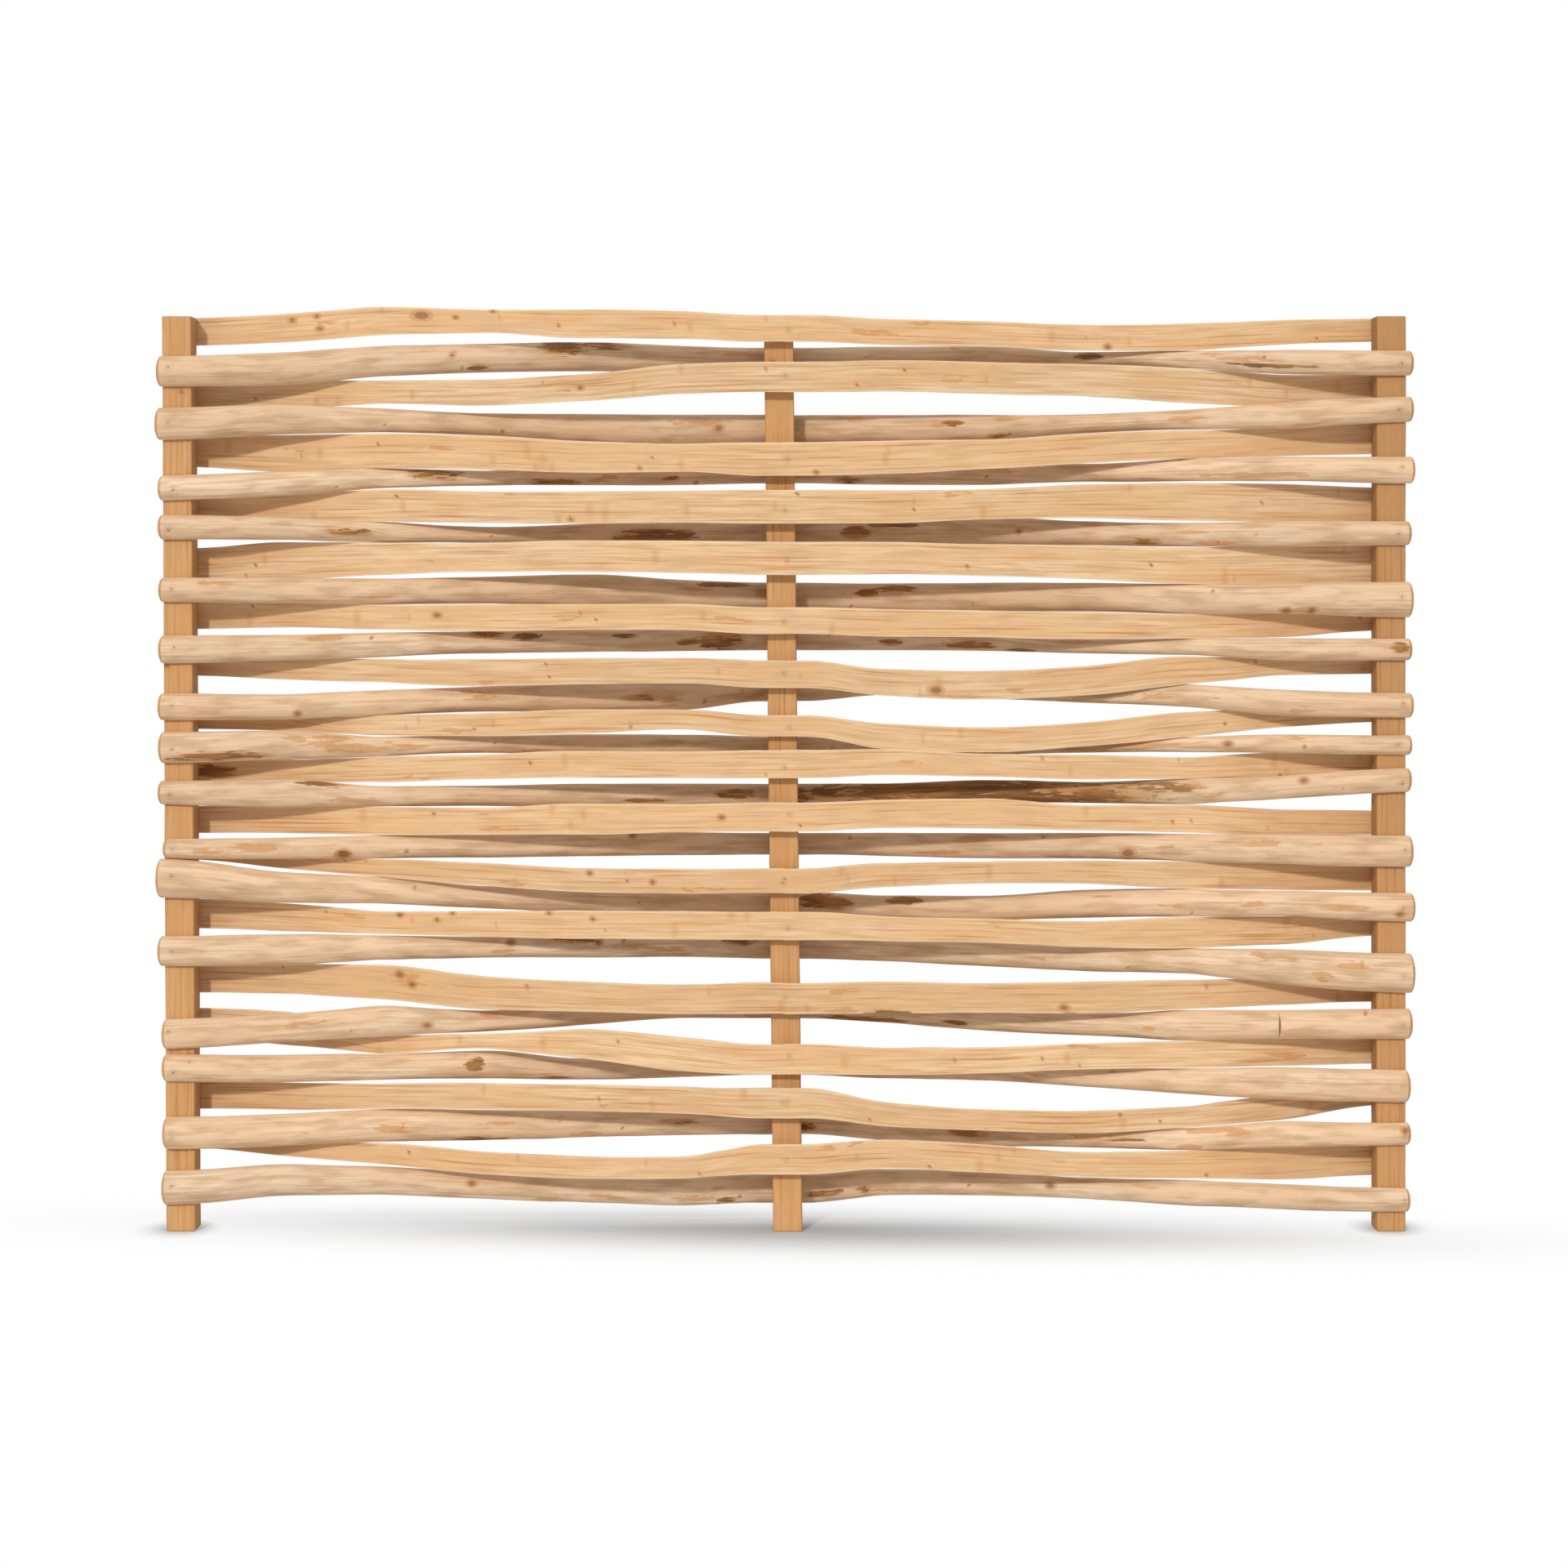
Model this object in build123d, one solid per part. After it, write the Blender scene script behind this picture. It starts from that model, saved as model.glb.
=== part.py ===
from build123d import *

import os
from dataclasses import dataclass
from math import cos, pi, sin

# Chestnut privacy screen: cleft half-round rails woven round three sawn posts.
# Millimetres, +Z up, the front faces -Y. The origin is on the ground, midway between where the
# two outer posts belong, and lies in the foot of the centre post.

# Posts
POST_SIZE = 43.0  # side of the sawn square
POST_SPACING = 870.0  # from the middle of the screen to where an outer post belongs
POST_ARRIS = 2.0  # chamfer along the four long edges
POST_TOP_BEVEL = 3.0  # chamfer round the top end
POST_TOP_MARGIN = 20.0  # post above the centre line of the top rail
CENTRE_FOOT_OFFSET = 5.5  # the centre post's foot, to the right of the middle
CENTRE_POST_LEAN = 13.5  # how far its top leans back to the left
LEFT_FOOT_OFFSET = 2.0  # the left post's foot, to the right of where it belongs
LEFT_POST_LEAN = 6.5  # how far its top leans back to the left
RIGHT_POST_OFFSET = 4.0  # the upright right post, to the right of where it belongs

# Rails
RAIL_OVERHANG = 15.0  # the longest rail runs this far past a rightly placed outer post
RAIL_WIDTH = 38.0  # usual width of the cleft face
RAIL_DEPTH = 17.0  # usual thickness, from the cleft face to the round back
DEPTH_PER_WIDTH = 0.35  # a wider stretch is also this much thicker
RAIL_STACK_GAP = 1.8  # usual gap between one rail and the next, where they cross
LOWEST_RAIL_LEVEL = 64.0  # centre line of the bottom rail above the ground
SEAT_GAP = 0.3  # a rail lies this far off the post that it is nailed to
SEAT_MARGIN = 3.0  # the flat seat runs this far past each side of a post
NEST_GAP = 0.6  # least gap between one rail and the next, where they cross
NEST_REACH = 12.0  # rails less than this far apart in depth are taken to cross
CROSSING_SHARE = 0.735  # the crossing starts at this share of the way to an outer post
BACK_FACETS = 8  # flats that the peeling knife leaves round a rail's back
STATIONS_PER_HALF = 6  # places along each half of a rail where its line is set

# Worked out from the sizes above
LEFT_TOP_OFFSET = LEFT_FOOT_OFFSET - LEFT_POST_LEAN
CENTRE_TOP_OFFSET = CENTRE_FOOT_OFFSET - CENTRE_POST_LEAN
OUTER_STRAY = max(abs(LEFT_FOOT_OFFSET), abs(LEFT_TOP_OFFSET), abs(RIGHT_POST_OFFSET))
CENTRE_STRAY = max(abs(CENTRE_FOOT_OFFSET), abs(CENTRE_TOP_OFFSET))
END_SEAT = POST_SIZE / 2 + SEAT_MARGIN + OUTER_STRAY  # half the length of a seat on an outer post
CENTRE_SEAT = POST_SIZE / 2 + SEAT_MARGIN + CENTRE_STRAY  # the same on the centre post
RAIL_REACH = POST_SPACING + POST_SIZE / 2 + RAIL_OVERHANG  # from the middle to an untrimmed end
RAIL_PITCH = RAIL_WIDTH + RAIL_STACK_GAP  # from one rail's level to the next


@dataclass(frozen=True)
class Rail:
    """One cleft rail, with its line and width at evenly spaced stations from left to right.

    sway is the height of the centre line over the rail's own level, extra is the width over
    RAIL_WIDTH, trim shortens the left and right ends, and bend is how late the rail leaves
    the outer post on the left and on the right.
    """

    sway: tuple
    extra: tuple
    trim: tuple = (8, 6)
    bend: tuple = (1.1, 1.1)


# From the top down: a rail behind the outer posts, then one in front of them, and so on.
RAILS = (
    Rail(
        sway=(0, 5, 14, 13, 8, 6, 1, -4, -6, -11, -9, -1, 3),
        extra=(2, 3, 3, -5, 3, 1, 0, -1, -2, -1, 1, -3, -5),
    ),
    Rail(
        sway=(-20, -16, -4, 1, 4, 1, 0, 1, 3, 3, -1.5, -6, -8),
        extra=(6, 9, 6, 3, 4, 0, -3, -2, -6, -16, -14, -3, -3),
        trim=(5, 2),
    ),
    Rail(
        sway=(-7, -10, -9, -10, -4, 8, 11, 13, 10, 7, 1, -7.5, -1),
        extra=(8, 6, -5, -1, 0, 4, 5, 6, 8, 8, 13, 9, 1),
    ),
    Rail(
        sway=(-16, -9, -10, -15, -21, -23.5, -22.5, -21, -20, -14, -9, -4, 5),
        extra=(8, 5, -4, -6, 4, 8, 5, 3, 0, -11, -10, -1, -2),
        trim=(3, 2),
    ),
    Rail(
        sway=(-14, -18, -14.5, -17.5, -24, -25, -27, -25, -20, -11, -5, 0, 5.5),
        extra=(6, 15, 12, 11, 7, 2, 10, 10, 4, 5, 3, 5, 8),
    ),
    Rail(
        sway=(-29, -22, -14, -12, -6, -4, -2, -3, -4, -5, -2.5, -1, -3),
        extra=(-2, -3, -10, -14, -3, 0, 0, 1, 1, -10, -6, -3, 0),
        trim=(7, 0),
    ),
    Rail(
        sway=(-10, -14, -14, -16, -17, -16, -16, -16, -12, -8, -8, -10, -13.5),
        extra=(1, 0, 9, 7, 8, 8, 10, 9, 5, 10, 16, 17, 13),
    ),
    Rail(
        sway=(-5, -7, -13, -16, -14, -13, -11, -10, -10, -14, -16, -15, -14),
        extra=(-3, -6, -9, -16, -11, -4, 1, 4, 5, -4, -4, -1, -4),
        trim=(7, 5),
    ),
    Rail(
        sway=(-19.5, -14, -11, -7, -7, -8, -10, -10, -13, -16, -21, -19.5, -18),
        extra=(6, 16, 9, 6, 7, 8, 9, 8, 7, 11, 15, 21, 22),
    ),
    Rail(
        sway=(-16, -17, -19, -17, -18, -23, -27, -29, -28, -27, -29, -29, -30),
        extra=(-3, -1, -1, 0, 9, 2, 3, 4, 4, 3, 5, 5, 13),
        trim=(8, 3),
    ),
    Rail(
        sway=(-12.5, -12, -15.5, -16, -15, -15, -20, -23, -25, -27.5, -29, -27, -19),
        extra=(5, -1, -2, 1, -1, -1, 0, 1, 0, 2, -3, -2, -7),
    ),
    Rail(
        sway=(-22, -20, -16, -13, -10, -9, -8, -8, -9, -17, -19, -22, -22),
        extra=(2, -1, -3, -7, -3, -3, -3, -4, -5, -15, -15, -6, -7),
        trim=(8, 4),
    ),
    Rail(
        sway=(-2, -9, -14, -16, -13, -12, -17, -29, -33, -27, -13, -5, -2),
        extra=(-1, -3, -5, 0, -1, -2, 1, 0, 3, 4, 2, -7, -5),
    ),
    Rail(
        sway=(-25, -26, -20, -16, -13.5, -10.5, -1, 6, 2, -5, -10, -20, -23),
        extra=(0, -2, -2, -2, 4, 5, 0, -4, -4, -7, -6, -1, -3),
        trim=(7, 2),
    ),
    Rail(
        sway=(1, -4, -13, -10, -6, -3, -12, -27, -32, -25, -12, -1, 9),
        extra=(3, -3, -9, -4, -4, -10, -8, -2, -2, -4, -2, -7, -2),
    ),
    Rail(
        sway=(-4, -1, -4, -2, -3, -5, -6, -3, -2, -2, -1, 1, 0),
        extra=(6, 4, -10, -14, -8, -6, -10, -10, -5, -14, -16, -12, -10),
        trim=(8, 4),
    ),
    Rail(
        sway=(-1.5, 0, 2.5, 9, 12, 12, 13, 16, 11, 7.5, 5, 8, 8),
        extra=(-4, -6, -2, -1, 0, 0, 2, -1, -6, -3, -7, -1, -2),
    ),
    Rail(
        sway=(11, 9, 4, 3.5, 3, 2, 3, 4, 9, 8, 10, 18, 29),
        extra=(-4, 2, -10, -9, -5, -4, -7, -8, -7, -8, -2, -5, -4),
        trim=(7, 5),
    ),
    Rail(
        sway=(8, 8.5, 9, 11, 13, 15, 17, 21, 21, 16, 11.5, 4, 2.5),
        extra=(1, 1, 4, 4, 6, 2, 3, 2, 5, 2, 2, 0, -3),
    ),
    Rail(
        sway=(10, 9, 10, 10, 10, 11, 11, 10, 9, 10, 9, 8, 6),
        extra=(-10, -8, -5, -5, -5, -5, -7, -5, -2, -1, 1, 5, 7),
        trim=(14, 3),
    ),
    Rail(
        sway=(46, 31.5, 20, 12, 5, 4, 5, 13, 16, 15, 9.5, 6, 4),
        extra=(-9, -11, -12, -6, -4, -3, -3, -4, -7, -4, 2, 2, 3),
    ),
    Rail(
        sway=(47, 33, 26, 15, 9, 6, 5, 0, -2, 5, 9, 9, 5),
        extra=(18, 6, 0, -6, -5, -7, -8, -7, -3, 2, 1, -2, 3),
        trim=(5, 0),
    ),
    Rail(
        sway=(31, 26, 20, 20, 21, 21, 20, 16, 12, 6.5, 5.5, 7, 18),
        extra=(4, 2, -6, -2, 2, 2, 2, -3, -4, 1, 7, 2, -2),
    ),
    Rail(
        sway=(22, 22, 24, 22, 21, 20, 18, 15, 11, 5, 4, -3, -10),
        extra=(5, 7, -4, -8, -9, -9, -8, -7, -4, -4, -2, 12, 18),
        trim=(7, 1),
    ),
    Rail(
        sway=(17, 17, 14, 1, -3, -6, -4, -3, -5, -6, -3.5, -2, 2),
        extra=(6, 5, 11, 9, 5, 3, 6, 7, 4, 8, 4, 0, 1),
    ),
    Rail(
        sway=(-18, -10, -2, -4.5, 3.5, 11, 11, 7, -2, -10, -9, -6, -3),
        extra=(5, 2, 6, -8, -8, -9, -7, -4, -1, -6, 5, 3, 5),
        trim=(13, 4),
        bend=(1.5, 1.1),
    ),
    Rail(
        sway=(32, 23.5, 3.5, 13, 8, -5, -12, -15, -15, -11, -10, -10, -8),
        extra=(3, 10, -9, -10, 3, 10, 5, 1, -1, -1, 2, 1, 4),
        bend=(1.5, 1.1),
    ),
    Rail(
        sway=(13, 10, 10.5, 10.5, 2.5, 5, 9, 6, 4, -8, -11, -11, -13),
        extra=(1, 1, 0, 2, -8, -7, -5, -1, -2, -12, -2, 8, 8),
        trim=(13, 7),
    ),
    Rail(
        sway=(5, 5.5, 8, 12, 11, 9, 5, -11, -21, -26, -22, -10, 10),
        extra=(2, 1, -2, 1, 0, 0, 5, -4, -8, -6, -8, -1, -4),
    ),
    Rail(
        sway=(-1, 1, 5, 3, 2, 2, 3, -2, -8, -15, -15, -5, -2),
        extra=(8, 7, 8, 5, 0, -3, -3, 4, 6, -9, -7, -2, -7),
        trim=(14, 6),
    ),
    Rail(
        sway=(27, 16.5, 5, -5, -10, -8, 4, 11, 3, -5, -11, -11.5, -7.5),
        extra=(-5, -2, -8, -6, -7, -7, 5, 3, 2, 4, 2, 10, 9),
    ),
    Rail(
        sway=(0, 8.5, 4, -6.5, -14.5, -18.5, -14, -6, -5, -10, -13, -16, -18),
        extra=(11, 7, 2, -1, -2, 3, 5, 0, -3, -8, -2, -2, -4),
        trim=(13, 7),
    ),
)

TOP_RAIL_LEVEL = LOWEST_RAIL_LEVEL + (len(RAILS) - 1) * RAIL_PITCH
POST_HEIGHT = TOP_RAIL_LEVEL + POST_TOP_MARGIN


def make_post(foot_x, top_x):
    """A sawn post from its foot on the ground to its top, which may stand a little to one side."""
    foot = Pos(foot_x, 0, 0) * Rectangle(POST_SIZE, POST_SIZE)
    top = Pos(top_x, 0, POST_HEIGHT) * Rectangle(POST_SIZE, POST_SIZE)
    post = loft([foot, top], ruled=True)
    arrises = [edge for edge in post.edges() if edge.length > POST_HEIGHT / 2]
    post = chamfer(arrises, POST_ARRIS)
    rim = post.faces().sort_by(Axis.Z)[-1].edges()
    return chamfer(rim, POST_TOP_BEVEL)


def weave(x, bend):
    """How far a rail has crossed over at x: 0 on an outer post, 1 on the centre post.

    Between its seats a rail lies in the curve of a springy strip held at the centre post.
    """
    free_end = POST_SPACING - END_SEAT
    free_length = free_end - CENTRE_SEAT
    along = min(max((free_end - abs(x)) / free_length, 0.0), 1.0)
    eased = along ** bend[0 if x < 0 else 1]
    return (3 * eased - eased**3) / 2


def between(values, x):
    """The value at x of a row of values that stand at the stations, the same all over a seat."""
    if abs(x) <= CENTRE_SEAT:
        return values[STATIONS_PER_HALF]
    spacing = POST_SPACING / STATIONS_PER_HALF
    place = min(max(x / spacing + STATIONS_PER_HALF, 0.0), 2.0 * STATIONS_PER_HALF)
    left = min(int(place), 2 * STATIONS_PER_HALF - 1)
    return values[left] + (values[left + 1] - values[left]) * (place - left)


def section_places(rail):
    """Where along X the rail's sections stand: ends, seats, crossings and stations between."""
    spacing = POST_SPACING / STATIONS_PER_HALF
    free = [spacing * step for step in range(1, STATIONS_PER_HALF)]
    free = sorted(free + [POST_SPACING * CROSSING_SHARE])
    half = [CENTRE_SEAT] + free + [POST_SPACING - END_SEAT]
    left_end = rail.trim[0] - RAIL_REACH
    right_end = RAIL_REACH - rail.trim[1]
    return [left_end] + [-x for x in reversed(half)] + half + [right_end]


def in_front(place):
    """Whether the rail at this place in the stack, 0 at the top, is in front of the outer posts."""
    return place % 2 == 1


def depth_range(place, x):
    """The rail's cleft face and the top of its round back at x, along Y.

    The cleft face lies on the outer posts, and the round back on the centre post.
    """
    rail = RAILS[place]
    outward = -1 if in_front(place) else 1
    seat = POST_SIZE / 2 + SEAT_GAP
    seated_depth = RAIL_DEPTH + DEPTH_PER_WIDTH * between(rail.extra, 0)
    flat = outward * (seat - (2 * seat + seated_depth) * weave(x, rail.bend))
    depth = RAIL_DEPTH + DEPTH_PER_WIDTH * between(rail.extra, x)
    return flat, flat + outward * depth


def crosses_above(place, x):
    """Whether this rail and the one above it are side by side in depth at x, or nearly."""
    own, above = sorted(depth_range(place, x)), sorted(depth_range(place - 1, x))
    return own[0] < above[1] + NEST_REACH and above[0] < own[1] + NEST_REACH


def lower_edge(place, x):
    """Height of the rail's lower edge at x."""
    rail = RAILS[place]
    middle = TOP_RAIL_LEVEL - place * RAIL_PITCH + between(rail.sway, x)
    return middle - (RAIL_WIDTH + between(rail.extra, x)) / 2


def upper_edge(place, x):
    """Height of the rail's upper edge at x, which clears the rail above where the two cross."""
    edge = lower_edge(place, x) + RAIL_WIDTH + between(RAILS[place].extra, x)
    if place > 0 and crosses_above(place, x):
        edge = min(edge, lower_edge(place - 1, x) - NEST_GAP)
    return edge


def make_section(place, x):
    """The rail's half-round outline at x: a cleft face, and a back of flats from knife to knife."""
    flat, back = depth_range(place, x)
    low = lower_edge(place, x)
    high = upper_edge(place, x)
    outline = []
    for step in range(BACK_FACETS + 1):
        turn = pi * step / BACK_FACETS
        y = flat + (back - flat) * sin(turn)
        z = (low + high) / 2 - (high - low) / 2 * cos(turn)
        outline.append((x, y, z))
    return Face(Wire(Polyline(*outline, close=True).edges()))


def make_rail(place):
    """A cleft rail, straight from each section to the next."""
    return loft([make_section(place, x) for x in section_places(RAILS[place])], ruled=True)


def make_screen():
    """Every piece of the screen by name."""
    pieces = {
        "left_post": make_post(LEFT_FOOT_OFFSET - POST_SPACING, LEFT_TOP_OFFSET - POST_SPACING),
        "centre_post": make_post(CENTRE_FOOT_OFFSET, CENTRE_TOP_OFFSET),
        "right_post": make_post(POST_SPACING + RIGHT_POST_OFFSET, POST_SPACING + RIGHT_POST_OFFSET),
    }
    for place in range(len(RAILS)):
        side = "front" if in_front(place) else "rear"
        pieces[f"{side}_rail_{place // 2 + 1:02d}"] = make_rail(place)
    return pieces


def main():
    """Writes one STEP file for each piece."""
    os.makedirs("parts", exist_ok=True)
    for name, shape in make_screen().items():
        export_step(shape, f"parts/{name}.step")


main()
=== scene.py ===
import logging
import math
from dataclasses import dataclass, field
from enum import Enum

import bmesh
import bpy
import numpy as np
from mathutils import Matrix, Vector


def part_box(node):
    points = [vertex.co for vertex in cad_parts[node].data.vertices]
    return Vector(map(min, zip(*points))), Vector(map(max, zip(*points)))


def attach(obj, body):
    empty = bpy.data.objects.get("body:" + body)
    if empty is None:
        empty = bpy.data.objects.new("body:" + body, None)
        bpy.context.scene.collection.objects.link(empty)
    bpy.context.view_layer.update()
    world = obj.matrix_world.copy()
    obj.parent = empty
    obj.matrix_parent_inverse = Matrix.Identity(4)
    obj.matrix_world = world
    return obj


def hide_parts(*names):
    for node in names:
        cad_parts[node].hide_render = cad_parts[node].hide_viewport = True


# Looks of a woven chestnut screen: cleft rails, sawn posts and the nails that hold them.
# Metres, +Z up, the front faces -Y.
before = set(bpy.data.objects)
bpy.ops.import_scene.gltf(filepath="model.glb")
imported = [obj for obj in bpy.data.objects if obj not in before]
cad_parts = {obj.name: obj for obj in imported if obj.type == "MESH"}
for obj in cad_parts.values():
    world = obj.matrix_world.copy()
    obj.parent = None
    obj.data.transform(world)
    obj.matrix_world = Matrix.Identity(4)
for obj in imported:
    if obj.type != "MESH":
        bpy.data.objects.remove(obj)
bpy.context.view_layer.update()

LOG = logging.getLogger("screen")
MM = 0.001
ROOT = "root"
Piece = bpy.types.Object
Socket = bpy.types.NodeSocket
Array = np.ndarray


class Side(Enum):
    """The two long faces of a cleft rail."""

    CLEFT = 0
    BACK = 1


class Kind(Enum):
    """What a mark on a rail is."""

    KNOT = "knot"
    TRACE = "trace"
    BARK = "bark"
    FLECK = "fleck"
    SCAR = "scar"
    SPLIT = "split"


@dataclass(frozen=True)
class Mark:
    """One mark on a face of a rail.

    x is its place along the screen and length its size along the rail, in millimetres. up is
    its place across the rail, from -1 at the lower edge to 1 at the upper one, and width its
    size across, in millimetres.
    """

    kind: Kind
    x: float
    up: float
    length: float = 14.0
    width: float = 9.0


KNOT, TRACE, BARK, FLECK, SCAR, SPLIT = Kind

# Marks of the rails nailed to the front of the outer posts, a row to a rail, top one first.
# Each mark is given as the fields of Mark.
FRONT_MARKS = (
    ((SCAR, -442, -0.7, 22, 7), (BARK, -320, 0.6, 56, 20), (BARK, -262, 0.75, 75, 8),
     (BARK, 443, 0.3, 34, 11), (FLECK, 660, 0.2, 80, 8), (KNOT, -480, 0.2, 9, 7), (SCAR, 700, -0.4, 110, 4),
     (FLECK, 625, 0.5, 60, 6)),
    ((SCAR, 246, 0.4, 26, 7), (SCAR, 310, -0.7, 30, 6), (FLECK, 328, 0.7, 30, 8), (FLECK, 580, 0.0, 45, 6),
     (KNOT, -95, 0.1)),
    ((BARK, -505, 0.4, 66, 14), (BARK, -337, -0.75, 62, 9), (FLECK, -264, -0.5, 36, 8),
     (BARK, 95, -0.75, 40, 8), (KNOT, -130, -0.8, 7, 5), (SCAR, -163, -0.5, 26, 4),
     (FLECK, 680, -0.5, 120, 6)),
    ((BARK, -188, -0.35, 96, 22), (BARK, 107, -0.2, 38, 14), (SCAR, 160, 0.4, 55, 5),
     (BARK, -622, -0.1, 56, 9), (BARK, 527, -0.6, 36, 9), (FLECK, 620, -0.7, 50, 8),
     (KNOT, 339, 0.0, 10, 8)),
    ((BARK, 119, 0.35, 24, 12), (BARK, 162, 0.65, 48, 7), (BARK, -88, 0.8, 60, 7),
     (FLECK, -30, 0.3, 22, 12), (FLECK, 739, -0.7, 44, 10), (KNOT, 724, -0.75), (KNOT, 758, -0.7, 12, 9)),
    ((BARK, -88, -0.1, 58, 24), (BARK, -434, 0.8, 46, 9), (BARK, -375, 0.5, 34, 8),
     (SCAR, -230, 0.3, 34, 6), (SCAR, -136, -0.2, 28, 9), (BARK, 154, -0.3, 32, 9),
     (BARK, 271, -0.5, 64, 8), (BARK, 342, -0.9, 34, 5), (BARK, 886, 0.2, 22, 14)),
    ((FLECK, -165, -0.4, 26, 13), (SCAR, -210, -0.1, 60, 5), (FLECK, -47, -0.6, 46, 10),
     (FLECK, 434, -0.5, 60, 6), (FLECK, 528, -0.1, 70, 10), (FLECK, 751, -0.5, 34, 8),
     (KNOT, -699, -0.5, 12, 9)),
    ((FLECK, 522, 0.1, 190, 8), (FLECK, 739, 0.6, 44, 8), (FLECK, -845, -0.5, 50, 8), (KNOT, 640, 0.1),
     (BARK, -806, -0.6, 130, 10), (FLECK, -607, 0.0, 140, 13)),
    ((BARK, 278, 0.1, 460, 40), (BARK, -664, 0.85, 60, 5), (SCAR, -200, -0.4, 66, 6),
     (BARK, -71, 0.2, 50, 11), (KNOT, 745, 0.5)),
    ((KNOT, 499, -0.4, 20, 13), (FLECK, 411, -0.8, 66, 6), (FLECK, 545, 0.0, 40, 7),
     (BARK, -637, -0.5, 22, 12), (KNOT, -637, -0.5, 18, 12), (KNOT, -220, 0.8, 12, 9),
     (FLECK, -760, 0.2, 60, 10), (FLECK, -830, -0.3, 50, 9)),
    ((BARK, 62, 0.2, 66, 17), (BARK, 176, 0.6, 40, 9), (FLECK, 680, 0.0, 36, 9), (FLECK, 809, -0.1, 80, 5),
     (KNOT, 882, -0.4)),
    ((BARK, -305, 0.8, 64, 8), (FLECK, -153, -0.7, 34, 8), (BARK, -59, 0.7, 44, 8),
     (FLECK, -405, -0.4, 28, 8), (FLECK, 698, 0.6, 66, 10), (FLECK, 768, -0.3, 30, 12),
     (FLECK, 815, 0.4, 36, 8), (KNOT, -396, 0.5, 14, 10), (KNOT, -271, 0.5, 12, 9)),
    ((KNOT, -516, -0.2), (FLECK, -422, 0.6, 30, 7), (BARK, 118, -0.7, 100, 6), (SCAR, 247, -0.4, 34, 6),
     (SPLIT, 713, 0.0, 8, 80)),
    ((SCAR, -446, 0.1, 22, 18), (SCAR, -328, -0.8, 46, 4)),
    ((FLECK, -561, 0.0, 50, 9), (BARK, -440, -0.85, 64, 6), (FLECK, -282, -0.6, 40, 7),
     (SCAR, -157, 0.3, 56, 5), (BARK, 30, -0.3, 28, 10), (BARK, 271, -0.1, 54, 9), (SCAR, 490, 0.0, 50, 4),
     (FLECK, 652, 0.5, 42, 9), (FLECK, 583, -0.7, 28, 8), (KNOT, 890, 0.4, 12, 9)),
    ((KNOT, -452, 0.3), (FLECK, -340, -0.6, 44, 7), (BARK, -82, -0.6, 24, 7), (KNOT, 385, 0.25),
     (BARK, 55, -0.3, 46, 8), (BARK, 117, -0.2, 20, 7)),
)

# Marks of the rails nailed behind the outer posts, top one first.
REAR_MARKS = (
    ((KNOT, -522, 0.4, 26, 13), (KNOT, -715, 0.5, 12, 8), (KNOT, -678, 0.65, 10, 7),
     (KNOT, -670, -0.2, 12, 8), (KNOT, -475, 0.3, 10, 7), (KNOT, -421, 0.85, 10, 6),
     (TRACE, -134, -0.1, 10, 20), (KNOT, 468, -0.7, 12, 9), (FLECK, 127, -0.1, 60, 6)),
    ((TRACE, -645, -0.7, 10, 18), (KNOT, -293, 0.0, 10, 8), (FLECK, -312, -0.2, 26, 8),
     (TRACE, -215, -0.3, 9, 20), (TRACE, -150, 0.7, 10, 18), (KNOT, -27, 0.5, 6, 5)),
    ((TRACE, -674, 0.0, 10, 22), (TRACE, -420, -0.4, 10, 18), (TRACE, -332, -0.7, 9, 16),
     (TRACE, -150, -0.5, 10, 20), (KNOT, -205, -0.7, 8, 6), (KNOT, 46, -0.8, 10, 7)),
    ((TRACE, -679, -0.7, 10, 18), (TRACE, -551, 0.0, 9, 22), (TRACE, -280, -0.2, 12, 22),
     (TRACE, -326, -0.7, 10, 16), (TRACE, -138, -0.3, 10, 20), (KNOT, -306, -0.7, 9, 7)),
    (),
    ((KNOT, -499, 0.2, 14, 9),),
    ((KNOT, 219, -0.4, 20, 12),),
    (),
    ((BARK, -825, -0.1, 50, 17),),
    ((KNOT, -89, 0.0, 12, 9),),
    ((KNOT, -277, 0.6, 10, 8), (KNOT, -187, -0.1, 10, 8)),
    ((KNOT, -553, 0.7, 11, 8), (KNOT, -478, 0.85, 9, 7), (KNOT, -502, 0.3, 9, 7), (KNOT, -337, 0.85, 10, 7),
     (KNOT, -275, 0.4, 9, 7), (TRACE, -77, 0.8, 10, 18)),
    ((SCAR, 411, -0.9, 22, 4), (KNOT, 405, -0.6, 15, 9), (BARK, 147, -0.9, 60, 5),
     (KNOT, -555, 0.5, 14, 11), (KNOT, -535, 0.0, 12, 10), (FLECK, -543, 0.3, 46, 16)),
    (),
    ((TRACE, 7, 0.1, 10, 16),),
    ((FLECK, 59, 0.7, 26, 8), (FLECK, 94, 0.9, 26, 6)),
)


def srgb(red: int, green: int, blue: int) -> tuple[float, ...]:
    """A display colour from 0 to 255 as the linear colour that a shader takes."""
    shares = [value / 255 for value in (red, green, blue)]
    linear = [s / 12.92 if s <= 0.04045 else ((s + 0.055) / 1.055) ** 2.4 for s in shares]
    return (*linear, 1.0)


@dataclass(frozen=True)
class Layer:
    """One layer of relief: its length along the wood, its cells to a unit across, the row of the
    lattice that it starts from and its share of the whole.
    """

    length: float
    cells: float
    row: float
    share: float = 1.0


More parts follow.
